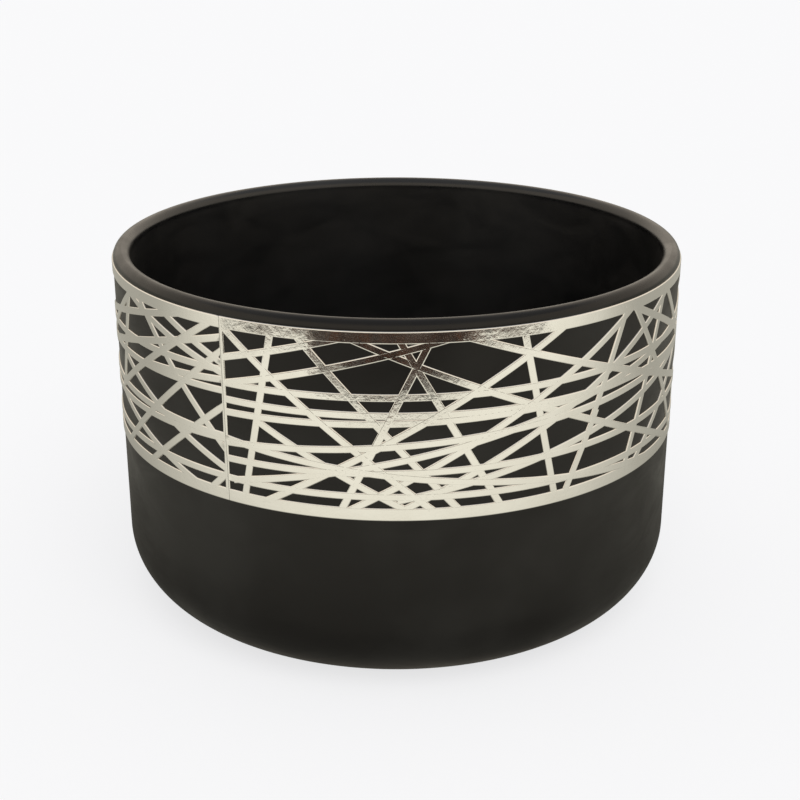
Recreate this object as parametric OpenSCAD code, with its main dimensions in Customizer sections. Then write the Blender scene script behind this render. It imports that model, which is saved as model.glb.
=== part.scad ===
// Empty candle jar: a short straight-sided bowl of pressed glass, lacquered black inside and
// out, with an openwork silver foil sheet wrapped round its upper half.
// Millimetres. Origin at the centre of the base, +Z up, -Y is the front.
// The seam of the foil sheet stands a little to the left of the front.

/* [Vessel] */

// Diameter over the outside lacquer of the straight wall
body_d = 99.6; // [98:0.2:101]
// Height from the bearing ring to the top of the lip
height = 64; // [60:1:70]
// Thickness of the wall at the lip, with both coats of lacquer
wall = 3; // [2.6:0.2:3.4]
// Radius of the rounded heel between the wall and the base
heel_r = 12.5; // [11:0.5:13]
// Thickness of the floor above the bearing ring, with the inside lacquer
floor_t = 5; // [4.4:0.2:6]
// Radius between the floor and the wall, on the inside
cove_r = 9.5; // [8:0.5:10.5]

/* [Base] */

// Outer radius of the bare bearing ring the jar stands on
ring_out_r = 36.5; // [35:0.5:37]
// Inner radius of the bearing ring
ring_in_r = 31.5; // [29:0.5:33]
// Height of the pushed-up middle of the underside above the ring
push_up = 1; // [0.6:0.2:1.4]

/* [Lacquer] */

// Thickness of each coat of lacquer
coat_t = 0.15; // [0.1:0.05:0.2]
// Height above the ring at which the outside lacquer stops
coat_stop = 0.4; // [0.3:0.1:0.8]

/* [Foil] */

// Thickness of the foil sheet
foil_t = 0.2; // [0.15:0.05:0.25]
// Depth of the foil's top edge below the rim
foil_top = 1.5; // [1.5:0.1:2]
// Depth of the foil's bottom edge below the rim
foil_bottom = 32.2; // [31.8:0.1:33]
// Width of the plain border along the top edge
top_border = 2; // [1.8:0.1:2.4]
// Width of the plain border along the bottom edge
bottom_border = 2.2; // [2:0.1:2.8]
// Width of each stroke of the openwork
stroke_w = 1.3; // [1.1:0.05:1.5]
// Width of the plain strip along the seam
seam_w = 0.9; // [0.7:0.1:1.4]
// Azimuth of the seam from the front, in degrees towards +X
seam_az = -32.3; // [-60:0.1:60]

/* [Hidden] */

$fn = 180;
body_r = body_d / 2;
mouth_r = body_r - wall;
lip_r = wall / 2;
lip_mid = body_r - lip_r;
lip_z = height - lip_r;
heel_c = body_r - heel_r;
cove_c = mouth_r - cove_r;
cove_z = floor_t + cove_r;
foil_r = body_r + foil_t;
// Extra reach of a cutting shape past the surface it cuts
past = 1;

// Openwork strokes: [start azimuth, start depth, end azimuth, end depth], in degrees round
// from the seam and millimetres below the rim. These start the sheet, right of the seam.
first_strokes = [
  [0.5, 3.3, 37.5, 29.6],
  [0, 8.1, 20.5, 3.3],
  [10, 3, 4, 30],
  [0, 12.3, 41, 2.9],
  [0, 12.2, 111, 11.2],
  [0, 14.9, 111, 14.6],
  [0, 17, 82.5, 14.6],
  [7, 17.5, 32.5, 29.6],
  [0, 22.1, 111, 14.2],
  [0, 21.4, 79.5, 29.7],
  [0, 24.8, 111, 22.7],
  [1.5, 28.3, 72.5, 14.6],
  [0, 28.1, 111, 28.3],
  [10.5, 29.6, 62, 3.4],
  [25, 3, 98.5, 29.8],
  [33, 3.2, 50.5, 29.6],
  [38, 3.2, 23, 29.8],
  [26, 29.6, 79.5, 3.4],
  [35.5, 29.4, 94, 3.4],
  [55, 3, 62, 29.8],
  [45.5, 3, 135.5, 29.6],
  [78.5, 3.2, 70.5, 19.2],
  [71.5, 18, 65, 29.8],
  [81.5, 3, 104.5, 29.6],
  [82.5, 3.5, 112, 14.6],
  [93.5, 3, 81, 29.6],
  [95.5, 3, 124.5, 29.6],
  [70.5, 14.9, 146, 3.5],
  [32.5, 28.8, 164, 3.4],
  [85, 29.6, 106.5, 14.7],
  [15, 3, 42.5, 29.7],
];

// These carry on across the back of the jar from the long strokes of the first list to those
// of the last.
link_strokes = [
  [111, 11.2, 220, 12.2],
  [111, 14.6, 220, 15.4],
  [111, 14.2, 220, 17.8],
  [111, 22.7, 220, 25],
  [111, 28.3, 220, 28.6],
];

// These end the sheet, left of the seam.
last_strokes = [
  [-3, 3.1, -37.5, 21.6],
  [0, 4.9, -41.5, 14.1],
  [0, 7, -32.5, 29.6],
  [-23.5, 3.2, 0, 23.5],
  [0, 16.1, -20.5, 29.6],
  [-33.5, 14.6, 0, 26.8],
  [0, 13.6, -140, 15.4],
  [0, 11.8, -22.5, 13.5],
  [0, 10.2, -140, 12.2],
  [-15.5, 3.3, 0, 9.2],
  [-27.5, 3.3, 0, 10.8],
  [-53, 10.9, -13.5, 3.4],
  [-140, 17.8, 0, 21.2],
  [-140, 25, 0, 21.6],
  [0, 28, -140, 28.6],
  [-37.5, 22.4, -11.5, 29.6],
  [-2.5, 29.6, 0, 27.5],
  [-28.5, 3.2, -55, 19.7],
  [-29, 3.2, -36, 21],
];

// Middle lines of the two borders, as depths below the rim
top_line = foil_top + top_border / 2;
bottom_line = foil_bottom - bottom_border / 2;

// A stroke that ends at a border is carried on to the border's middle line
function carried(depth) =
  depth < top_line + top_border ? top_line
  : depth > bottom_line - bottom_border ? bottom_line
  : depth;
function az_at(s, depth) = s[0] + (s[2] - s[0]) * (depth - s[1]) / (s[3] - s[1]);

// The first strokes that cross from border to border come again, this many degrees further
// round, and those of them that end within short_az come once more, as far round again.
again_az = 110;
short_az = 80;

function crosses(s) = carried(s[1]) != s[1] && carried(s[3]) != s[3];
function is_short(s) = max(s[0], s[2]) < short_az;
function turned(s, by) = [s[0] + by, s[1], s[2] + by, s[3]];

strokes = concat(
  first_strokes,
  link_strokes,
  [for (s = first_strokes) if (crosses(s)) turned(s, again_az)],
  [for (s = first_strokes) if (crosses(s) && is_short(s)) turned(s, 2 * again_az)],
  last_strokes
);

// The foil is drawn in flat facets: their middles rest on the lacquer inside, and their
// corners reach foil_r outside.
foil_fn = 48;
foil_in_r = body_r / cos(180 / foil_fn);

// A flat bar cut by the round wall bows away from a straight stroke, so a stroke is laid as
// enough bars for each to bow by less than max_bow. Bars reach this far past the sheet.
max_bow = 0.25;
reach = 1;

function bars(span, rise) =
  let (half = abs(span) * PI / 360)
  max(1, ceil(pow(abs(rise) * half * half / 12 / max_bow, 1 / 3)));

// ---- profiles: x is the distance from the axis, y is the height ----

// Outside of the jar, a given distance in from the lacquered surface
module outside_profile(inset) {
  translate([0, inset])
    square([heel_c, lip_z - inset]);
  translate([0, heel_r])
    square([body_r - inset, lip_z - heel_r]);
  intersection() {
    translate([heel_c, heel_r])
      circle(r = heel_r - inset);
    translate([heel_c, 0])
      square([heel_r, heel_r]);
  }
}

// Inside of the jar, a given distance behind the lacquered surface
module inside_profile(inset) {
  translate([0, floor_t - inset])
    square([cove_c, height]);
  translate([0, cove_z])
    square([mouth_r + inset, height]);
  intersection() {
    translate([cove_c, cove_z])
      circle(r = cove_r + inset);
    translate([cove_c, floor_t - inset])
      square([cove_r + inset, cove_r + inset]);
  }
}

// The rounded top of the wall, a given distance in from the lacquered surface
module lip_profile(inset) {
  intersection() {
    translate([lip_mid, lip_z])
      circle(r = lip_r - inset);
    translate([mouth_r, lip_z])
      square([wall, lip_r]);
  }
}

// ---- nodes ----

module glass_vessel() {
  color([0.12, 0.13, 0.13])
    rotate_extrude() {
      difference() {
        union() {
          outside_profile(coat_t);
          translate([ring_in_r, 0])
            square([ring_out_r - ring_in_r, heel_r]);
        }
        inside_profile(coat_t);
        square([ring_in_r, push_up]);
      }
      lip_profile(coat_t);
    }
}

module outer_coat() {
  color([0.16, 0.16, 0.14])
    rotate_extrude() {
      difference() {
        outside_profile(0);
        outside_profile(coat_t);
        square([body_d, coat_stop]);
      }
      difference() {
        lip_profile(0);
        lip_profile(coat_t);
        square([lip_mid, height]);
      }
    }
}

module inner_coat() {
  color([0.1, 0.1, 0.1])
    rotate_extrude() {
      intersection() {
        difference() {
          inside_profile(coat_t);
          inside_profile(0);
        }
        square([body_r, lip_z]);
      }
      intersection() {
        difference() {
          lip_profile(0);
          lip_profile(coat_t);
        }
        square([lip_mid, height]);
      }
    }
}

// One flat bar across the wall, centred at an azimuth from the seam and a depth
module foil_bar(az, depth, span, rise) {
  half = abs(span) / 2;
  run = 2 * foil_r * sin(half) * sign(span);
  near = foil_r * cos(half) - reach;
  far = foil_r + reach;
  len = norm([run, rise]);
  rotate([0, 0, seam_az + az])
    translate([0, -(near + far) / 2, height - depth])
      rotate([0, atan2(rise, run), 0])
        hull()
          for (side = [-1, 1])
            translate([side * len / 2, 0, 0])
              cube([stroke_w / 4, far - near, stroke_w], center = true);
}

// One stroke of the openwork, laid round the wall
module foil_stroke(s) {
  from = carried(s[1]);
  to = carried(s[3]);
  az = az_at(s, from);
  span = az_at(s, to) - az;
  rise = to - from;
  n = bars(span, rise);
  for (i = [0 : n - 1])
    foil_bar(az + span * (i + 0.5) / n, from + rise * (i + 0.5) / n, span / n, rise / n);
}

// A disc as wide as the bars reach, between two depths below the rim
module foil_border(top, bottom) {
  translate([0, 0, height - bottom])
    cylinder(r = foil_r + reach, h = bottom - top);
}

module foil_wrap() {
  color([0.82, 0.8, 0.75])
    intersection() {
      translate([0, 0, height - foil_bottom])
        difference() {
          cylinder(r = foil_r, h = foil_bottom - foil_top, $fn = foil_fn);
          translate([0, 0, -past])
            cylinder(r = foil_in_r, h = foil_bottom - foil_top + 2 * past, $fn = foil_fn);
        }
      union() {
        foil_border(foil_top - past, foil_top + top_border);
        foil_border(foil_bottom - bottom_border, foil_bottom + past);
        rotate([0, 0, seam_az])
          translate([-seam_w / 2, -foil_r - reach, 0])
            cube([seam_w, 2 * reach, height]);
        for (s = strokes)
          foil_stroke(s);
      }
    }
}

glass_vessel();
outer_coat();
inner_coat();
foil_wrap();
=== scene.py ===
"""Looks of the empty candle jar: black lacquered glass with an openwork silver foil sheet.

Metres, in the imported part's own frame: origin at the centre of the base, +Z up, -Y the front.
The jar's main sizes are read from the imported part's boxes. Its other lengths are named below in
millimetres and turned to metres once, with MM. The studio's large lengths are in metres.
"""

import logging
import math
from dataclasses import dataclass
from enum import Enum

import bpy
import numpy as np
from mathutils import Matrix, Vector


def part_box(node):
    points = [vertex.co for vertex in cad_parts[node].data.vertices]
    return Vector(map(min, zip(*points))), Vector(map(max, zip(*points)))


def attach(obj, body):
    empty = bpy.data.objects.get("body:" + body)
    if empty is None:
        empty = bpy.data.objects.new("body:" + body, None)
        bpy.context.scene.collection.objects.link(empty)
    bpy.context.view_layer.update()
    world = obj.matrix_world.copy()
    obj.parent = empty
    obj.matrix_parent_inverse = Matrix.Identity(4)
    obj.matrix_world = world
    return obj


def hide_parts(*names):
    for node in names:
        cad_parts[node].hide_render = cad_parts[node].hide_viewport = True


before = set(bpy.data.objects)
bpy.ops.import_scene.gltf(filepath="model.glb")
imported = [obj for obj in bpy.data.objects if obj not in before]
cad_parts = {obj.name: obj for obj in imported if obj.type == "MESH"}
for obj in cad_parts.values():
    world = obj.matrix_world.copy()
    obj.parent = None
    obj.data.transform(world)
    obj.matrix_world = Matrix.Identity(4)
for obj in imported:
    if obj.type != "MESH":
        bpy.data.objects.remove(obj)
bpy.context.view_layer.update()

log = logging.getLogger("candle_jar")

MM = 0.001
BODY = "root"
COLUMNS = 360
TOUCHING = 1e-7  # metres between two points that count as one

# Blender's Mix node names its sockets alike for every kind of data, so they go by number.
FACTOR, FLOAT_A, FLOAT_B, COLOUR_A, COLOUR_B, MIXED_COLOUR = 0, 2, 3, 6, 7, 2


# ---- small tools ----------------------------------------------------------------------------


def linear(colour: str) -> tuple[float, float, float, float]:
    """Turns an sRGB hex colour into linear RGBA, by the curve that defines sRGB.

    Args:
        colour: six hex digits after a hash sign.

    Returns:
        Red, green, blue in linear light, and full alpha.
    """
    srgb = np.array([int(colour[i : i + 2], 16) for i in (1, 3, 5)]) / 255
    low, high = srgb / 12.92, ((srgb + 0.055) / 1.055) ** 2.4
    return (*np.where(srgb <= 0.04045, low, high).tolist(), 1.0)


def per_metre(millimetres: float) -> float:
    """Texture scale at which one feature of a pattern is about that many millimetres wide."""
    return 1.0 / (millimetres * MM)


def add_node(tree: bpy.types.NodeTree, kind: str, links: dict | None = None,
             **settings) -> bpy.types.Node:
    """Adds one node with its settings and links.

    Args:
        tree: node tree that gets the node.
        kind: Blender's type name, without its ShaderNode prefix.
        links: for each input's name or number, a value to set or an output socket to link.
        settings: attributes of the node itself.

    Returns:
        The new node.
    """
    node = tree.nodes.new("ShaderNode" + kind)
    for key, value in settings.items():
        setattr(node, key, value)
    for key, value in (links or {}).items():
        if isinstance(value, bpy.types.NodeSocket):
            tree.links.new(value, node.inputs[key])
        else:
            node.inputs[key].default_value = value
    return node


def new_tree(name: str) -> tuple[bpy.types.Material, bpy.types.NodeTree]:
    """Makes an empty node material.

    Args:
        name: the material's name.

    Returns:
        The material and its node tree.
    """
    material = bpy.data.materials.new(name)
    material.use_nodes = True
    material.node_tree.nodes.clear()
    return material, material.node_tree


# ---- finishes -------------------------------------------------------------------------------


@dataclass(frozen=True)
class BakedLacquer:
    """Solvent-borne black enamel, sprayed on the glass and baked.

    Spraying leaves a faint orange peel and small dust nibs, baking leaves a satin skin that is
    dark when seen face on and picks up a soft sheen towards the edges. Handling leaves slightly
    greyer clouds and glossier smudges. The film flows out glossier over the lip.
    """

    name: str
    colour: str
    cloud: str
    # Colour the foot turns to: painted light from the table below.
    painted_foot_light: str
    roughness: float
    specular: float
    lip_gloss: float = 0.12
    lip_mm: float = 62.6
    lip_ramp_mm: float = 1.0
    painted_foot_light_top_mm: float = 7.0
    cloud_mm: float = 26.0
    cloud_ramp: tuple[float, float] = (0.42, 0.72)
    smudge_mm: float = 15.0
    smudge_ramp: tuple[float, float] = (0.35, 0.68)
    smudge_stretch: float = 2.2
    smudge_matt: float = 0.06
    smudge_gloss: float = 0.12
    peel_mm: float = 1.6
    peel_height_mm: float = 0.006
    nib_mm: float = 2.6
    nib_share: float = 0.07
    nib_height_mm: float = 0.012
    ior: float = 1.5

    def material(self) -> bpy.types.Material:
        """Builds the lacquer's node material."""
        made, tree = new_tree(self.name)
        here = add_node(tree, "TexCoord").outputs["Object"]
        clouds = add_node(
            tree, "TexNoise",
            {"Vector": here, "Scale": per_metre(self.cloud_mm), "Detail": 3.0, "Roughness": 0.55},
        )
        cloudy = add_node(
            tree, "MapRange",
            {
                "Value": clouds.outputs["Fac"],
                "From Min": self.cloud_ramp[0], "From Max": self.cloud_ramp[1],
            },
            interpolation_type="SMOOTHSTEP",
        )
        shade = add_node(
            tree, "Mix",
            {
                FACTOR: cloudy.outputs[0],
                COLOUR_A: linear(self.colour), COLOUR_B: linear(self.cloud),
            },
            data_type="RGBA",
        )
        # Painted light: towards the foot, where the film thins, the colour turns brown to stand in
        # for light from the table coming up through it.
        height = add_node(tree, "SeparateXYZ", {0: here}).outputs["Z"]
        foot = add_node(
            tree, "MapRange",
            {"Value": height, "From Min": self.painted_foot_light_top_mm * MM, "From Max": 0.0},
            interpolation_type="SMOOTHSTEP",
        )
        colour = add_node(
            tree, "Mix",
            {
                FACTOR: foot.outputs[0],
                COLOUR_A: shade.outputs[MIXED_COLOUR], COLOUR_B: linear(self.painted_foot_light),
            },
            data_type="RGBA",
        )
        # Fingers leave patches a few millimetres high, drawn out sideways by wiping.
        wiped = add_node(
            tree, "Mapping", {"Vector": here, "Scale": (1.0, 1.0, self.smudge_stretch)},
        )
        smudge = add_node(
            tree, "TexNoise",
            {
                "Vector": wiped.outputs[0], "Scale": per_metre(self.smudge_mm),
                "Detail": 5.0, "Roughness": 0.62, "Distortion": 0.7,
            },
        )
        rough = add_node(
            tree, "MapRange",
            {
                "Value": smudge.outputs["Fac"],
                "From Min": self.smudge_ramp[0], "From Max": self.smudge_ramp[1],
                "To Min": self.roughness + self.smudge_matt,
                "To Max": self.roughness - self.smudge_gloss,
            },
        )
        lip = add_node(
            tree, "MapRange",
            {
                "Value": height, "From Min": (self.lip_mm - self.lip_ramp_mm) * MM,
                "From Max": self.lip_mm * MM,
            },
            interpolation_type="SMOOTHSTEP",
        )
        skin_rough = add_node(
            tree, "Math", {0: lip.outputs[0], 1: -self.lip_gloss, 2: rough.outputs[0]},
            operation="MULTIPLY_ADD",
        )
        peel = add_node(
            tree, "TexNoise",
            {"Vector": here, "Scale": per_metre(self.peel_mm), "Detail": 2.0, "Roughness": 0.5},
        )
        skin = add_node(
            tree, "Bump",
            {
                "Height": peel.outputs["Fac"], "Distance": self.peel_height_mm * MM,
                "Strength": 1.0,
            },
        )
        grit = add_node(
            tree, "TexVoronoi",
            {"Vector": here, "Scale": per_metre(self.nib_mm), "Randomness": 1.0},
        )
        # A nib takes up a small share of the distance between one nib and the next.
        nib = add_node(
            tree, "MapRange",
            {
                "Value": grit.outputs["Distance"], "From Min": 0.0, "From Max": self.nib_share,
                "To Min": 1.0, "To Max": 0.0,
            },
            interpolation_type="SMOOTHSTEP",
        )
        bump = add_node(
            tree, "Bump",
            {
                "Height": nib.outputs[0], "Distance": self.nib_height_mm * MM,
                "Strength": 0.6, "Normal": skin.outputs[0],
            },
        )
        shader = add_node(
            tree, "BsdfPrincipled",
            {
                "Base Color": colour.outputs[MIXED_COLOUR], "Roughness": skin_rough.outputs[0],
                "Normal": bump.outputs[0], "IOR": self.ior,
                "Specular IOR Level": self.specular,
            },
        )
        add_node(tree, "OutputMaterial", {"Surface": shader.outputs[0]})
        return made


@dataclass(frozen=True)
class StampedFoil:
    """Aluminium foil under a clear top coat, die cut and rolled down on the lacquer.

    Rolled aluminium keeps a mirror with a satin haze in it. Pressing it down over the lacquer
    leaves shallow puckers a few millimetres apart, and its cut edges are duller and darker.
    """

    name: str = "stamped_aluminium_foil"
    bright: str = "#f1f1ef"
    warm: str = "#e6e4df"
    edge: str = "#b9b6b0"
    roughness: float = 0.09
    edge_haze: float = 0.12
    mottle_mm: float = 6.0
    mottle_ramp: tuple[float, float] = (0.3, 0.7)
    clearer: float = 0.03
    hazier: float = 0.05
    pucker_mm: float = 4.5
    pucker_height_mm: float = 0.03
    crinkle_mm: float = 0.9
    crinkle_height_mm: float = 0.016

    def material(self) -> bpy.types.Material:
        """Builds the foil's node material."""
        made, tree = new_tree(self.name)
        here = add_node(tree, "TexCoord").outputs["Object"]
        mottle = add_node(
            tree, "TexNoise",
            {"Vector": here, "Scale": per_metre(self.mottle_mm), "Detail": 4.0, "Roughness": 0.6},
        )
        silver = add_node(
            tree, "Mix",
            {
                FACTOR: mottle.outputs["Fac"],
                COLOUR_A: linear(self.bright), COLOUR_B: linear(self.warm),
            },
            data_type="RGBA",
        )
        cut = add_node(tree, "Attribute", attribute_name=FoilSheet.EDGE).outputs["Fac"]
        colour = add_node(
            tree, "Mix",
            {
                FACTOR: cut,
                COLOUR_A: silver.outputs[MIXED_COLOUR], COLOUR_B: linear(self.edge),
            },
            data_type="RGBA",
        )
        hazed = add_node(
            tree, "MapRange",
            {
                "Value": mottle.outputs["Fac"],
                "From Min": self.mottle_ramp[0], "From Max": self.mottle_ramp[1],
                "To Min": self.roughness - self.clearer,
                "To Max": self.roughness + self.hazier,
            },
        )
        rough = add_node(
            tree, "Math", {0: cut, 1: self.edge_haze, 2: hazed.outputs[0]},
            operation="MULTIPLY_ADD",
        )
        pucker = add_node(
            tree, "TexNoise",
            {"Vector": here, "Scale": per_metre(self.pucker_mm), "Detail": 1.0, "Roughness": 0.4},
        )
        wavy = add_node(
            tree, "Bump",
            {
                "Height": pucker.outputs["Fac"], "Distance": self.pucker_height_mm * MM,
                "Strength": 1.0,
            },
        )
        crinkle = add_node(
            tree, "TexNoise",
            {"Vector": here, "Scale": per_metre(self.crinkle_mm), "Detail": 3.0, "Roughness": 0.6},
        )
        bump = add_node(
            tree, "Bump",
            {
                "Height": crinkle.outputs["Fac"], "Distance": self.crinkle_height_mm * MM,
                "Strength": 1.0, "Normal": wavy.outputs[0],
            },
        )
        shader = add_node(
            tree, "BsdfPrincipled",
            {
                "Base Color": colour.outputs[MIXED_COLOUR], "Metallic": 1.0,
                "Roughness": rough.outputs[0], "Normal": bump.outputs[0],
            },
        )
        add_node(tree, "OutputMaterial", {"Surface": shader.outputs[0]})
        return made


@dataclass(frozen=True)
class PressedGlass:
    """Soda-lime glass from a press mould, seen only on the underside with lacquer behind it.

    Lacquer on its far side makes it look black and glossy. The mould leaves gentle ripples, and
    the ring it stands on is stippled against thermal shock and scuffed by use.
    """

    name: str = "pressed_glass"
    deep: str = "#0b0d0d"
    scuff: str = "#4b4e4d"
    roughness: float = 0.07
    scuff_roughness: float = 0.55
    ior: float = 1.52
    ring_full_mm: float = 0.02
    ring_gone_mm: float = 0.14
    ripple_mm: float = 9.0
    ripple_height_mm: float = 0.05
    stipple_mm: float = 0.8
    stipple_height_mm: float = 0.12
    scuff_mm: float = 1.1
    scuff_ramp: tuple[float, float] = (0.45, 0.7)

    def material(self) -> bpy.types.Material:
        """Builds the glass's node material."""
        made, tree = new_tree(self.name)
        here = add_node(tree, "TexCoord").outputs["Object"]
        height = add_node(tree, "SeparateXYZ", {0: here}).outputs["Z"]
        # Full on the ring itself, gone just above it.
        ring = add_node(
            tree, "MapRange",
            {
                "Value": height, "From Min": self.ring_gone_mm * MM,
                "From Max": self.ring_full_mm * MM,
            },
        )
        worn = add_node(
            tree, "TexNoise",
            {"Vector": here, "Scale": per_metre(self.scuff_mm), "Detail": 6.0, "Roughness": 0.7},
        )
        spots = add_node(
            tree, "MapRange",
            {
                "Value": worn.outputs["Fac"],
                "From Min": self.scuff_ramp[0], "From Max": self.scuff_ramp[1],
            },
        )
        scuffed = add_node(
            tree, "Math", {0: ring.outputs[0], 1: spots.outputs[0]}, operation="MULTIPLY",
        )
        colour = add_node(
            tree, "Mix",
            {
                FACTOR: scuffed.outputs[0],
                COLOUR_A: linear(self.deep), COLOUR_B: linear(self.scuff),
            },
            data_type="RGBA",
        )
        rough = add_node(
            tree, "MapRange",
            {
                "Value": scuffed.outputs[0], "To Min": self.roughness,
                "To Max": self.scuff_roughness,
            },
        )
        ripple = add_node(
            tree, "TexNoise",
            {"Vector": here, "Scale": per_metre(self.ripple_mm), "Detail": 1.0},
        )
        flow = add_node(
            tree, "Bump",
            {
                "Height": ripple.outputs["Fac"], "Distance": self.ripple_height_mm * MM,
                "Strength": 1.0,
            },
        )
        dots = add_node(
            tree, "TexVoronoi",
            {"Vector": here, "Scale": per_metre(self.stipple_mm), "Randomness": 0.6},
        )
        studs = add_node(
            tree, "Math", {0: dots.outputs["Distance"], 1: ring.outputs[0]}, operation="MULTIPLY",
        )
        bump = add_node(
            tree, "Bump",
            {
                "Height": studs.outputs[0], "Distance": self.stipple_height_mm * MM,
                "Strength": 0.8, "Normal": flow.outputs[0],
            },
            invert=True,
        )
        shader = add_node(
            tree, "BsdfPrincipled",
            {
                "Base Color": colour.outputs[MIXED_COLOUR], "Roughness": rough.outputs[0],
                "Normal": bump.outputs[0], "IOR": self.ior,
            },
        )
        add_node(tree, "OutputMaterial", {"Surface": shader.outputs[0]})
        return made


@dataclass(frozen=True)
class OpalTable:
    """Opal acrylic sheet of a light table: matt, and lit evenly from below."""

    name: str = "opal_table"
    colour: str = "#909090"
    glow: str = "#f7f7f8"
    glow_strength: float = 0.78
    roughness: float = 0.9

    def material(self) -> bpy.types.Material:
        """Builds the table's node material."""
        made, tree = new_tree(self.name)
        shader = add_node(
            tree, "BsdfPrincipled",
            {
                "Base Color": linear(self.colour), "Roughness": self.roughness,
                "Specular IOR Level": 0.0, "Emission Color": linear(self.glow),
                "Emission Strength": self.glow_strength,
            },
        )
        add_node(tree, "OutputMaterial", {"Surface": shader.outputs[0]})
        return made


@dataclass(frozen=True)
class FlagCloth:
    """Dark brown cloth of a studio flag, a painted reflection of the black camera side in front
    of the jar, with paler brown patches in it.
    """

    name: str = "flag_cloth"
    dark: str = "#0e0c0b"
    pale_reflection: str = "#875230"
    pale_reflection_mm: float = 16.0
    pale_reflection_ramp: tuple[float, float] = (0.5, 0.75)
    roughness: float = 0.9
    specular: float = 0.1

    def material(self) -> bpy.types.Material:
        """Builds the cloth's node material."""
        made, tree = new_tree(self.name)
        here = add_node(tree, "TexCoord").outputs["Object"]
        # Paler brown patches in the painted reflection.
        pale_reflections = add_node(
            tree, "TexNoise",
            {"Vector": here, "Scale": per_metre(self.pale_reflection_mm), "Detail": 2.0},
        )
        seen = add_node(
            tree, "MapRange",
            {
                "Value": pale_reflections.outputs["Fac"],
                "From Min": self.pale_reflection_ramp[0], "From Max": self.pale_reflection_ramp[1],
            },
        )
        colour = add_node(
            tree, "Mix",
            {
                FACTOR: seen.outputs[0],
                COLOUR_A: linear(self.dark), COLOUR_B: linear(self.pale_reflection),
            },
            data_type="RGBA",
        )
        shader = add_node(
            tree, "BsdfPrincipled",
            {
                "Base Color": colour.outputs[MIXED_COLOUR], "Roughness": self.roughness,
                "Specular IOR Level": self.specular,
            },
        )
        add_node(tree, "OutputMaterial", {"Surface": shader.outputs[0]})
        return made


@dataclass(frozen=True)
class CreamLining:
    """Cream paper lining of the tent, glowing with painted light as if lit from over the camera.

    Its painted light is brightest on the table in front of the jar, dimmer round the sides and
    behind, dim in a painted shadow of the jar at its foot, and bright again where it stands up
    as a wall. Each of the three ramps starts and ends at a distance in metres: along Y, from
    the centre of the base, and up.
    """

    name: str = "cream_lining"
    colour: str = "#e3dfd0"
    wall_colour: str = "#f6ead9"
    front: float = 1.25
    back: float = 0.55
    foot: float = 0.35
    wall: float = 1.15
    back_ramp: tuple[float, float] = (-0.15, 0.05)
    shade_ramp: tuple[float, float] = (0.05, 0.12)
    wall_ramp: tuple[float, float] = (0.02, 0.2)

    def material(self) -> bpy.types.Material:
        """Builds the lining's node material."""
        made, tree = new_tree(self.name)
        here = add_node(tree, "TexCoord").outputs["Object"]
        place = add_node(tree, "SeparateXYZ", {0: here})
        away = add_node(tree, "VectorMath", {0: here}, operation="LENGTH")
        behind = add_node(
            tree, "MapRange",
            {
                "Value": place.outputs["Y"],
                "From Min": self.back_ramp[0], "From Max": self.back_ramp[1],
                "To Min": self.front, "To Max": self.back,
            },
            interpolation_type="SMOOTHSTEP",
        )
        # Painted shadow of the jar on the lining round its foot.
        shaded = add_node(
            tree, "MapRange",
            {
                "Value": away.outputs["Value"],
                "From Min": self.shade_ramp[0], "From Max": self.shade_ramp[1],
                "To Min": self.foot, "To Max": 1.0,
            },
            interpolation_type="SMOOTHSTEP",
        )
        table = add_node(
            tree, "Math", {0: behind.outputs[0], 1: shaded.outputs[0]}, operation="MULTIPLY",
        )
        upright = add_node(
            tree, "MapRange",
            {
                "Value": place.outputs["Z"],
                "From Min": self.wall_ramp[0], "From Max": self.wall_ramp[1],
            },
            interpolation_type="SMOOTHSTEP",
        )
        light = add_node(
            tree, "Mix",
            {FACTOR: upright.outputs[0], FLOAT_A: table.outputs[0], FLOAT_B: self.wall},
            data_type="FLOAT",
        )
        colour = add_node(
            tree, "Mix",
            {
                FACTOR: upright.outputs[0],
                COLOUR_A: linear(self.colour), COLOUR_B: linear(self.wall_colour),
            },
            data_type="RGBA",
        )
        # Painted light: the lining glows by itself with the brightness worked out above.
        glow = add_node(
            tree, "Emission",
            {"Color": colour.outputs[MIXED_COLOUR], "Strength": light.outputs[0]},
        )
        add_node(tree, "OutputMaterial", {"Surface": glow.outputs[0]})
        return made


# ---- surfaces -------------------------------------------------------------------------------


class Fineness(Enum):
    """How closely a profile is sampled: degrees of arc and metres of line between points."""

    SEEN = (3.0, 2.0 * MM)
    HIDDEN = (10.0, 60.0 * MM)


def arc(centre: tuple[float, float], radius: float, start: float, end: float,
        fineness: Fineness) -> np.ndarray:
    """Samples an arc: each point is the centre plus the radius at an angle that runs evenly.

    Args:
        centre: distance from the axis and height of the arc's centre.
        radius: the arc's radius.
        start: first angle in degrees, from straight outwards towards up.
        end: last angle in degrees.
        fineness: how close the points are.

    Returns:
        One row of distance and height for each point.
    """
    count = max(2, round(abs(end - start) / fineness.value[0]) + 1)
    angle = np.radians(np.linspace(start, end, count))
    turned = radius * np.column_stack((np.cos(angle), np.sin(angle)))
    return np.array(centre) + turned


def polyline(corners: list[tuple[float, float]], fineness: Fineness) -> np.ndarray:
    """Samples straight runs between corners, evenly along each run.

    Args:
        corners: distance and height of each corner.
        fineness: how close the points are.

    Returns:
        One row of distance and height for each point.
    """
    runs = []
    for start, end in zip(corners[:-1], corners[1:]):
        count = max(1, math.ceil(math.dist(start, end) / fineness.value[1]))
        share = np.linspace(0.0, 1.0, count + 1)[:, None]
        runs.append(np.array(start) * (1 - share) + np.array(end) * share)
    return chain(*runs)


def chain(*runs: np.ndarray) -> np.ndarray:
    """Joins runs of profile points end to end and drops points that repeat the one before."""
    points = np.vstack(runs)
    step = np.linalg.norm(np.diff(points, axis=0), axis=1)
    return points[np.concatenate(([True], step > TOUCHING))]


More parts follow.
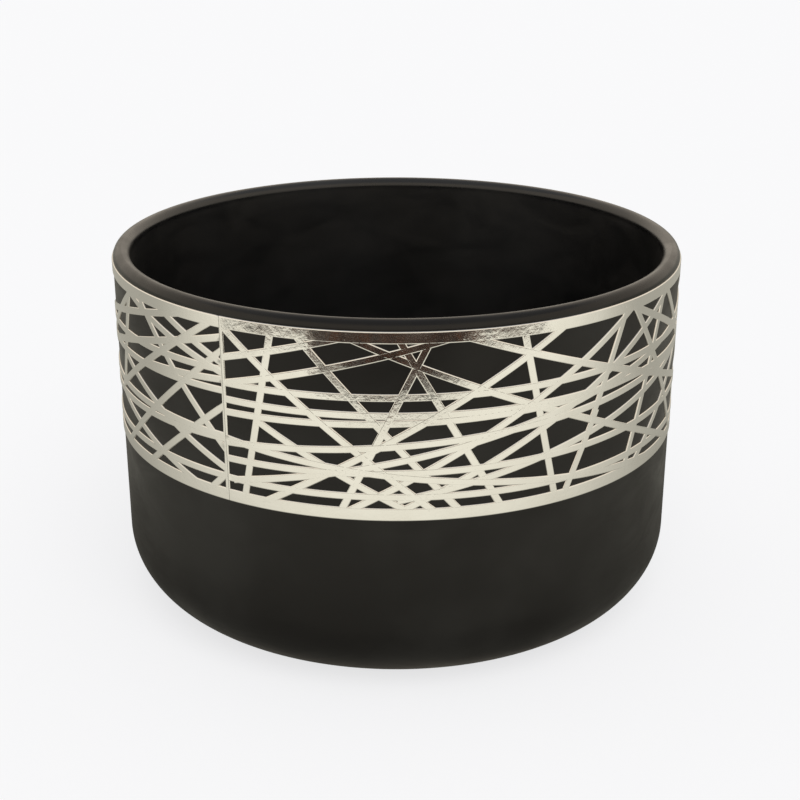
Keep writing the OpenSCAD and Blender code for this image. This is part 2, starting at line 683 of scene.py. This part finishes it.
def lathe(profile: np.ndarray) -> tuple[np.ndarray, list[list[int]]]:
    """Turns a profile about the jar's axis.

    Point (i, j) of the surface is profile point j turned through i parts of a full circle: its
    distance from the axis times the sine and minus the cosine of the angle, at its own height.
    A profile runs anticlockwise round its material. It closes on itself, or it starts and ends
    on the axis, where it gets one point and a fan of triangles.

    Args:
        profile: rows of distance and height.

    Returns:
        The points, and the faces as lists of point numbers.
    """
    open_ended = profile[0, 0] < TOUCHING
    rim = profile[1:-1] if open_ended else profile
    rows = len(rim)
    turn = np.arange(COLUMNS) * (2 * np.pi / COLUMNS)
    points = np.stack(
        (
            np.outer(np.sin(turn), rim[:, 0]),
            -np.outer(np.cos(turn), rim[:, 0]),
            np.broadcast_to(rim[:, 1], (COLUMNS, rows)),
        ),
        axis=-1,
    ).reshape(-1, 3)
    column = np.arange(COLUMNS)
    beside = (column + 1) % COLUMNS
    row = np.arange(rows - 1) if open_ended else np.arange(rows)
    above = (row + 1) % rows
    here, there = column[:, None] * rows, beside[:, None] * rows
    quads = np.stack((here + row, there + row, there + above, here + above), axis=-1)
    faces = quads.reshape(-1, 4).tolist()
    if open_ended:
        ends = np.column_stack((np.zeros((2, 2)), profile[[0, -1], 1]))
        first, last = len(points), len(points) + 1
        points = np.vstack((points, ends))
        faces += np.column_stack((np.full(COLUMNS, first), beside * rows, column * rows)).tolist()
        top = rows - 1
        faces += np.column_stack(
            (column * rows + top, beside * rows + top, np.full(COLUMNS, last))
        ).tolist()
    return points, faces


def piece(name: str, points: np.ndarray, faces: list[list[int]], finish: bpy.types.Material,
          stands_for: str, crease_deg: float = 40.0) -> bpy.types.Object:
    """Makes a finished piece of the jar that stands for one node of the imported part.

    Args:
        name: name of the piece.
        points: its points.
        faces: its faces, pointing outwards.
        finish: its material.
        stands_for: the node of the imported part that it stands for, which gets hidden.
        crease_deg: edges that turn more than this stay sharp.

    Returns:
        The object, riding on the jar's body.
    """
    mesh = bpy.data.meshes.new(name)
    mesh.from_pydata(points.tolist(), [], faces)
    mesh.materials.append(finish)
    mesh.polygons.foreach_set("use_smooth", np.ones(len(mesh.polygons), bool))
    mesh.set_sharp_from_angle(angle=math.radians(crease_deg))
    mesh.update()
    made = bpy.data.objects.new(name, mesh)
    bpy.context.scene.collection.objects.link(made)
    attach(made, BODY)
    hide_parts(stands_for)
    triangles = sum(len(face) - 2 for face in faces)
    log.info("%s: %d points, %d triangles, finish %s", name, len(points), triangles, finish.name)
    return made


# ---- the jar --------------------------------------------------------------------------------


@dataclass(frozen=True)
class JarSizes:
    """Sizes of the jar in metres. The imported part's boxes give the first six."""

    body_r: float
    height: float
    coat_stop: float
    foil_r: float
    foil_top: float
    foil_bottom: float
    wall: float = 3.0 * MM
    heel_r: float = 12.5 * MM
    floor_t: float = 5.0 * MM
    cove_r: float = 9.5 * MM
    ring_out_r: float = 36.5 * MM
    ring_in_r: float = 31.5 * MM
    push_up: float = 1.0 * MM
    coat_t: float = 0.15 * MM

    @classmethod
    def from_frame(cls) -> "JarSizes":
        """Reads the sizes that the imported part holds."""
        coat_low, coat_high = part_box("outer_coat")
        foil_low, foil_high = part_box("foil_wrap")
        return cls(
            body_r=coat_high.x, height=coat_high.z, coat_stop=coat_low.z,
            foil_r=foil_high.x, foil_top=foil_high.z, foil_bottom=foil_low.z,
        )

    @property
    def lip_r(self) -> float:
        """Radius of the half-round lip."""
        return self.wall / 2

    @property
    def lip(self) -> tuple[float, float]:
        """Centre of the half-round lip."""
        return self.body_r - self.lip_r, self.height - self.lip_r

    @property
    def heel(self) -> tuple[float, float]:
        """Centre of the rounded heel."""
        return self.body_r - self.heel_r, self.heel_r

    @property
    def cove(self) -> tuple[float, float]:
        """Centre of the rounding between the floor and the wall."""
        return self.body_r - self.wall - self.cove_r, self.floor_t + self.cove_r

    def outside(self, inset: float, fineness: Fineness, foot: float) -> np.ndarray:
        """Runs up the outside from the heel to the crest of the lip.

        Args:
            inset: distance in from the lacquered surface.
            fineness: how close the points are.
            foot: height at which the run starts, on the heel.

        Returns:
            The profile's points, from the foot upwards.
        """
        start = -90.0 + math.degrees(math.acos(1 - max(foot - inset, 0.0) / (self.heel_r - inset)))
        wall_r = self.body_r - inset
        return chain(
            arc(self.heel, self.heel_r - inset, start, 0.0, fineness),
            polyline([(wall_r, self.heel[1]), (wall_r, self.lip[1])], fineness),
            arc(self.lip, self.lip_r - inset, 0.0, 90.0, fineness),
        )

    def inside(self, inset: float, fineness: Fineness) -> np.ndarray:
        """Runs down the inside from the crest of the lip to the middle of the floor.

        Args:
            inset: distance behind the lacquered surface.
            fineness: how close the points are.

        Returns:
            The profile's points, from the lip downwards.
        """
        wall_r = self.body_r - self.wall + inset
        level = self.floor_t - inset
        return chain(
            arc(self.lip, self.lip_r - inset, 90.0, 180.0, fineness),
            polyline([(wall_r, self.lip[1]), (wall_r, self.cove[1])], fineness),
            arc(self.cove, self.cove_r + inset, 0.0, -90.0, fineness),
            polyline([(self.cove[0], level), (0.0, level)], fineness),
        )


@dataclass(frozen=True)
class GlassVessel:
    """The pressed bowl under the lacquer, with the bare ring it stands on."""

    sizes: JarSizes
    ring_edge_r: float = 0.35 * MM
    ring_roll_deg: float = 35.0

    def profile(self) -> np.ndarray:
        """Runs round the glass: underside, ring, outside, lip, inside and floor."""
        size, edge = self.sizes, self.ring_edge_r
        inner, outer = size.ring_in_r + edge, size.ring_out_r - edge
        return chain(
            polyline([(0.0, size.push_up), (size.ring_in_r - edge, size.push_up)], Fineness.SEEN),
            arc((size.ring_in_r - edge, size.push_up - edge), edge, 90.0, 0.0, Fineness.HIDDEN),
            arc((inner, edge), edge, 180.0, 270.0, Fineness.HIDDEN),
            polyline([(inner, 0.0), (outer, 0.0)], Fineness.SEEN),
            arc((outer, edge), edge, -90.0, self.ring_roll_deg - 90.0, Fineness.HIDDEN),
            size.outside(size.coat_t, Fineness.SEEN, size.coat_t),
            size.inside(size.coat_t, Fineness.HIDDEN),
        )

    def build(self, finish: PressedGlass) -> bpy.types.Object:
        """Builds the bowl and dresses it."""
        return piece("pressed_bowl", *lathe(self.profile()), finish.material(), "glass_vessel")


@dataclass(frozen=True)
class LacquerCoats:
    """The two sprayed coats, which meet on the crest of the lip."""

    sizes: JarSizes

    def outer_profile(self) -> np.ndarray:
        """Runs up the outer coat's skin and back down behind it."""
        size = self.sizes
        skin = size.outside(0.0, Fineness.SEEN, size.coat_stop)
        behind = size.outside(size.coat_t, Fineness.HIDDEN, size.coat_stop)
        return chain(skin, behind[::-1])

    def inner_profile(self) -> np.ndarray:
        """Runs up behind the inner coat and back down its skin, from axis to axis."""
        size = self.sizes
        behind = size.inside(size.coat_t, Fineness.HIDDEN)
        return chain(behind[::-1], size.inside(0.0, Fineness.SEEN))

    def build(self, outside: BakedLacquer, inside: BakedLacquer) -> list[bpy.types.Object]:
        """Builds both coats and dresses them.

        Args:
            outside: finish of the outer coat.
            inside: finish of the inner coat.

        Returns:
            The outer and the inner coat.
        """
        outer, inner = lathe(self.outer_profile()), lathe(self.inner_profile())
        return [
            piece("lacquer_outside", *outer, outside.material(), "outer_coat"),
            piece("lacquer_inside", *inner, inside.material(), "inner_coat"),
        ]


@dataclass(frozen=True)
class FoilSheet:
    """The openwork sheet, laid out flat and rolled round the wall.

    On the flat sheet, s runs to the right from the seam and z is the height. Rolled up, a point
    stands at the angle s over the sheet's radius, at its own height. Each stroke is one strip:
    a section with a flat middle and rounded shoulders, carried along a straight line of the
    flat sheet.
    """

    sizes: JarSizes
    seam_deg: float = -32.3
    stroke_w: float = 1.3 * MM
    shoulder: float = 0.18 * MM
    top_border: float = 2.0 * MM
    bottom_border: float = 2.2 * MM
    seam_w: float = 0.9 * MM
    slit: float = 0.06 * MM
    slit_lean: float = 0.3 * MM
    sunk: float = 0.03 * MM
    step_deg: float = 1.2
    again_deg: float = 110.0
    short_deg: float = 80.0
    past_seam: float = 1.0 * MM
    crease_deg: float = 60.0

    EDGE = "foil_edge"
    # Lift between one strip and the next keeps crossing strips from sharing a surface.
    LIFTS = 12
    LIFT_STEP = 0.0003 * MM
    # Degrees up a strip's shoulder, nearness to its cut edge there, and the share of the
    # shoulder's width that the last point stands in, which keeps the middle's shading flat.
    SHOULDER_DEG = (0.0, 30.0, 60.0, 90.0, 90.0)
    NEARNESS = (1.0, 0.5, 0.1, 0.0, 0.0)
    INNER_SHARE = 1 / 3

    # Strokes as start angle, start depth, end angle, end depth: degrees round from the seam and
    # millimetres below the rim.
    FIRST = (
        (0.5, 3.3, 37.5, 29.6), (0, 8.1, 20.5, 3.3), (10, 3, 4, 30), (0, 12.3, 41, 2.9),
        (0, 12.2, 111, 11.2), (0, 14.9, 111, 14.6), (0, 17, 82.5, 14.6), (7, 17.5, 32.5, 29.6),
        (0, 22.1, 111, 14.2), (0, 21.4, 79.5, 29.7), (0, 24.8, 111, 22.7),
        (1.5, 28.3, 72.5, 14.6), (0, 28.1, 111, 28.3), (10.5, 29.6, 62, 3.4),
        (25, 3, 98.5, 29.8), (33, 3.2, 50.5, 29.6), (38, 3.2, 23, 29.8), (26, 29.6, 79.5, 3.4),
        (35.5, 29.4, 94, 3.4), (55, 3, 62, 29.8), (45.5, 3, 135.5, 29.6),
        (78.5, 3.2, 70.5, 19.2), (71.5, 18, 65, 29.8), (81.5, 3, 104.5, 29.6),
        (82.5, 3.5, 112, 14.6), (93.5, 3, 81, 29.6), (95.5, 3, 124.5, 29.6),
        (70.5, 14.9, 146, 3.5), (32.5, 28.8, 164, 3.4), (85, 29.6, 106.5, 14.7),
        (15, 3, 42.5, 29.7),
    )
    LINK = (
        (111, 11.2, 220, 12.2), (111, 14.6, 220, 15.4), (111, 14.2, 220, 17.8),
        (111, 22.7, 220, 25), (111, 28.3, 220, 28.6),
    )
    LAST = (
        (-3, 3.1, -37.5, 21.6), (0, 4.9, -41.5, 14.1), (0, 7, -32.5, 29.6),
        (-23.5, 3.2, 0, 23.5), (0, 16.1, -20.5, 29.6), (-33.5, 14.6, 0, 26.8),
        (0, 13.6, -140, 15.4), (0, 11.8, -22.5, 13.5), (0, 10.2, -140, 12.2),
        (-15.5, 3.3, 0, 9.2), (-27.5, 3.3, 0, 10.8), (-53, 10.9, -13.5, 3.4),
        (-140, 17.8, 0, 21.2), (-140, 25, 0, 21.6), (0, 28, -140, 28.6),
        (-37.5, 22.4, -11.5, 29.6), (-2.5, 29.6, 0, 27.5), (-28.5, 3.2, -55, 19.7),
        (-29, 3.2, -36, 21),
    )

    @property
    def length(self) -> float:
        """Length of the flat sheet, once round the wall."""
        return 2 * np.pi * self.sizes.foil_r

    @property
    def upper(self) -> float:
        """Height of the top border's middle line."""
        return self.sizes.foil_top - self.top_border / 2

    @property
    def lower(self) -> float:
        """Height of the bottom border's middle line."""
        return self.sizes.foil_bottom + self.bottom_border / 2

    def strokes(self) -> np.ndarray:
        """Lists every stroke on the sheet.

        The first strokes that cross from border to border come again further round, and the
        short ones among them once more.

        Returns:
            One row for each stroke, in the units of FIRST.
        """
        first = np.array(self.FIRST, float)
        high = self.sizes.height - first[:, [1, 3]] * MM
        at_top = high > self.upper - self.top_border
        at_bottom = high < self.lower + self.bottom_border
        again = first[(at_top | at_bottom).all(axis=1)]
        short = again[again[:, [0, 2]].max(axis=1) < self.short_deg]
        turn = np.array([self.again_deg, 0.0, self.again_deg, 0.0])
        last = np.array(self.LAST, float) + [360.0, 0.0, 360.0, 0.0]
        return np.vstack((first, self.LINK, again + turn, short + 2 * turn, last))

    def ends(self, stroke: np.ndarray) -> np.ndarray:
        """Lays one stroke on the flat sheet and carries its ends under the plain parts.

        An end near a border goes on to the border's middle line, and an end at the seam goes on
        past it, along the stroke's own line.

        Args:
            stroke: angles and depths of the two ends.

        Returns:
            Two rows of s and z.
        """
        degree = self.length / 360
        along = np.array([stroke[0], stroke[2]]) * degree
        high = self.sizes.height - np.array([stroke[1], stroke[3]]) * MM
        ends = np.column_stack((along, high))
        run = ends[1] - ends[0]
        for end in (0, 1):
            away = run if end else -run
            share = 0.0
            if high[end] > self.upper - self.top_border:
                share = (self.upper - high[end]) / away[1]
            elif high[end] < self.lower + self.bottom_border:
                share = (self.lower - high[end]) / away[1]
            elif min(along[end], self.length - along[end]) < self.past_seam:
                share = self.past_seam / abs(away[0])
            ends[end] += away * share
        return ends

    def section(self, width: float, lift: float) -> np.ndarray:
        """Section of a strip: a quarter ellipse up, a flat middle, and a quarter ellipse down.

        Args:
            width: the strip's width.
            lift: how far its flat middle stands below the sheet's outer radius.

        Returns:
            Rows of offset across the strip, radius, and nearness to the cut edge.
        """
        angle = np.radians(self.SHOULDER_DEG)
        foot, crown = self.sizes.body_r, self.sizes.foil_r - lift
        across = width / 2 - self.shoulder * (1 - np.cos(angle))
        across[-1] -= self.shoulder * self.INNER_SHARE
        radius = foot + (crown - foot) * np.sin(angle)
        up = np.column_stack((-across, radius, self.NEARNESS))
        down = np.column_stack((across, radius, self.NEARNESS))[::-1]
        under = [[width / 2, foot - self.sunk, 1.0], [-width / 2, foot - self.sunk, 1.0]]
        return np.vstack((up, down, under))

    def slit_at(self, z: np.ndarray) -> np.ndarray:
        """Where the slit between the sheet's two ends stands: it leans a little with height."""
        share = (z - self.sizes.foil_bottom) / (self.sizes.foil_top - self.sizes.foil_bottom)
        return self.slit_lean * (1 - 2 * share)

    def strip(self, ends: np.ndarray, width: float, lift: float) -> tuple[np.ndarray, np.ndarray]:
        """Carries a section along a straight line of the flat sheet and rolls it up.

        Point (i, j) stands i steps along the line, j round the section: s and z are the line's
        point plus the section's offset square to the line. s stays between the two sides of the
        slit. The angle is s over the sheet's radius.

        Args:
            ends: s and z of the line's two ends.
            width: the strip's width.
            lift: how far its flat middle stands below the sheet's outer radius.

        Returns:
            The points, and nearness to the cut edge for each.
        """
        shape = self.section(width, lift)
        run = ends[1] - ends[0]
        unit = run / np.linalg.norm(run)
        span = abs(run[0]) / self.length * 360
        count = max(1, math.ceil(span / self.step_deg))
        share = np.linspace(0.0, 1.0, count + 1)[:, None]
        s = ends[0, 0] + share * run[0] - shape[:, 0] * unit[1]
        z = ends[0, 1] + share * run[1] + shape[:, 0] * unit[0]
        slit = self.slit_at(z)
        s = np.clip(s, slit + self.slit / 2, slit + self.length - self.slit / 2)
        z = np.clip(z, self.sizes.foil_bottom, self.sizes.foil_top)
        turn = s / self.sizes.foil_r + math.radians(self.seam_deg)
        radius = np.broadcast_to(shape[:, 1], s.shape)
        points = np.stack((radius * np.sin(turn), -radius * np.cos(turn), z), axis=-1)
        return points, np.broadcast_to(shape[:, 2], s.shape)

    @staticmethod
    def skin(rows: int, around: int, start: int) -> list[list[int]]:
        """Faces of one strip: a closed tube of quads with a flat face at each end."""
        row = np.arange(rows - 1)[:, None] * around
        here = np.arange(around)
        there = (here + 1) % around
        quads = np.stack((row + here, row + around + here, row + around + there, row + there), -1)
        caps = [here[::-1] + start, here + (rows - 1) * around + start]
        return (quads.reshape(-1, 4) + start).tolist() + [cap.tolist() for cap in caps]

    def plain_parts(self) -> list[tuple[np.ndarray, float]]:
        """Lines and widths of the two borders and of the strip on each side of the slit."""
        borders = ((self.upper, self.top_border), (self.lower, self.bottom_border))
        first, last = -self.past_seam, self.length + self.past_seam
        round_about = [(np.array([[first, z], [last, z]]), width) for z, width in borders]
        upright = [
            (np.array([[end, self.lower], [end, self.upper]]), self.seam_w)
            for end in (0.0, self.length)
        ]
        return round_about + upright

    def build(self, finish: StampedFoil) -> bpy.types.Object:
        """Builds the sheet and dresses it.

        Args:
            finish: the foil's finish.

        Returns:
            The sheet as one piece.
        """
        lines = self.plain_parts()
        lines += [(self.ends(stroke), self.stroke_w) for stroke in self.strokes()]
        points, edges, faces, start = [], [], [], 0
        for number, (ends, width) in enumerate(lines):
            lift = self.LIFT_STEP * (number % self.LIFTS)
            grid, edge = self.strip(ends, width, lift)
            rows, around = edge.shape
            points.append(grid.reshape(-1, 3))
            edges.append(edge.reshape(-1))
            faces += self.skin(rows, around, start)
            start += rows * around
        sheet = piece(
            "foil_sheet", np.vstack(points), faces, finish.material(), "foil_wrap",
            self.crease_deg,
        )
        attribute = sheet.data.attributes.new(self.EDGE, "FLOAT", "POINT")
        attribute.data.foreach_set("value", np.concatenate(edges).astype(np.float32))
        return sheet


# ---- the studio -----------------------------------------------------------------------------


@dataclass(frozen=True)
class Studio:
    """A light table in a white tent with a cream lining, a large lamp and a dark flag.

    The lining and the flag show only in reflections: the lining glows with painted light and
    shade, and the flag is a painted reflection of the camera side.
    """

    table_half: float = 3.0
    table_top: float = -0.02 * MM
    tent: str = "#f6f6f8"
    tent_strength: float = 0.6
    lamp_strength: float = 1.0
    lamp_spread_deg: float = 50.0
    lamp_from: tuple[float, float, float] = (0.2, -0.75, 1.0)
    lining_r: float = 0.9
    lining_bend: float = 0.2
    lining_top: float = 1.0
    lining_lift: float = 1.0 * MM
    flag_lift: float = 2.0 * MM
    # Outline of the flag in metres, anticlockwise from above, from its left corner farthest
    # from the jar. Its edge towards the jar is ragged.
    flag: tuple[tuple[float, float], ...] = (
        (-0.4, -0.6), (0.4, -0.6), (0.4, -0.3), (0.19, -0.14), (0.155, -0.168), (0.13, -0.184),
        (0.1, -0.194), (0.07, -0.182), (0.03, -0.177), (-0.06, -0.178), (-0.095, -0.174),
        (-0.115, -0.194), (-0.16, -0.166), (-0.19, -0.133), (-0.21, -0.105), (-0.4, -0.3),
    )

    def stand(self, name: str, points: np.ndarray, faces: list[list[int]],
              finish: bpy.types.Material, mirrored_only: bool = False) -> None:
        """Sets up a surface that isn't part of the jar.

        Args:
            name: name of the surface.
            points: its points.
            faces: its faces.
            finish: its material.
            mirrored_only: whether it shows in reflections only.
        """
        mesh = bpy.data.meshes.new(name)
        mesh.from_pydata(np.asarray(points).tolist(), [], faces)
        mesh.materials.append(finish)
        made = bpy.data.objects.new(name, mesh)
        bpy.context.scene.collection.objects.link(made)
        if mirrored_only:
            made.visible_camera = made.visible_diffuse = made.visible_shadow = False

    def flat(self, outline: tuple[tuple[float, float], ...], z: float) -> tuple[np.ndarray, list]:
        """Makes one flat face from an outline at a height."""
        return np.array([(x, y, z) for x, y in outline]), [list(range(len(outline)))]

    def build(self) -> None:
        """Sets out the table, the lining, the flag, the lamp and the tent."""
        far = self.table_half
        square = ((-far, -far), (far, -far), (far, far), (-far, far))
        self.stand("light_table", *self.flat(square, self.table_top), OpalTable().material())
        flat_r, bend = self.lining_r - self.lining_bend, self.lining_bend
        sweep = chain(
            np.array([(0.0, self.lining_lift)]),
            arc((flat_r, bend + self.lining_lift), bend, -90.0, 0.0, Fineness.SEEN),
            np.array([(self.lining_r, self.lining_top), (0.0, self.lining_top)]),
        )
        points, faces = lathe(sweep)
        walls = [face for face in faces if points[face][:, 2].min() < self.lining_top - TOUCHING]
        self.stand("lining", points, walls, CreamLining().material(), True)
        self.stand("flag", *self.flat(self.flag, self.flag_lift), FlagCloth().material(), True)
        light = bpy.data.lights.new("lamp", "SUN")
        light.energy, light.angle = self.lamp_strength, math.radians(self.lamp_spread_deg)
        lamp = bpy.data.objects.new("lamp", light)
        lamp.rotation_euler = (-Vector(self.lamp_from)).to_track_quat("-Z", "Y").to_euler()
        lamp.visible_glossy = False
        bpy.context.scene.collection.objects.link(lamp)
        world = bpy.data.worlds.new("tent")
        world.use_nodes = True
        tent = world.node_tree.nodes["Background"]
        tent.inputs["Color"].default_value = linear(self.tent)
        tent.inputs["Strength"].default_value = self.tent_strength
        bpy.context.scene.world = world
        bpy.context.scene.view_settings.view_transform = "Standard"
        log.info("studio: light table, lined tent, lamp and flag")


@dataclass(frozen=True)
class StudioCamera:
    """The camera in front of the jar, looking down into its mouth."""

    away: float = 251.7 * MM
    height: float = 129.2 * MM
    pitch_deg: float = 20.98
    lens_mm: float = 65.3
    shift_x: float = 0.0044
    sensor_mm: float = 36.0
    nearest: float = 0.01
    farthest: float = 20.0

    def build(self) -> bpy.types.Object:
        """Places the camera and makes it the scene's own."""
        data = bpy.data.cameras.new("camera")
        data.lens = self.lens_mm
        data.sensor_width = self.sensor_mm
        data.shift_x = self.shift_x
        data.clip_start, data.clip_end = self.nearest, self.farthest
        camera = bpy.data.objects.new("camera", data)
        camera.location = (0.0, -self.away, self.height)
        camera.rotation_euler = (math.radians(90.0 - self.pitch_deg), 0.0, 0.0)
        bpy.context.scene.collection.objects.link(camera)
        bpy.context.scene.camera = camera
        log.info("camera: %.1f mm lens, %.2f degrees down", self.lens_mm, self.pitch_deg)
        return camera


def main() -> None:
    """Builds the jar and its studio."""
    logging.basicConfig(level=logging.INFO, format="%(name)s: %(message)s")
    sizes = JarSizes.from_frame()
    GlassVessel(sizes).build(PressedGlass())
    outside = BakedLacquer(
        name="satin_black_lacquer", colour="#0c0a08", cloud="#1b1a17", painted_foot_light="#22150c",
        roughness=0.42, specular=0.31,
    )
    inside = BakedLacquer(
        name="inner_black_lacquer", colour="#131313", cloud="#1d1d1d", painted_foot_light="#131313",
        roughness=0.42, specular=0.5, cloud_mm=34.0,
    )
    LacquerCoats(sizes).build(outside, inside)
    FoilSheet(sizes).build(StampedFoil())
    Studio().build()
    StudioCamera().build()


if __name__ == "__main__":
    main()
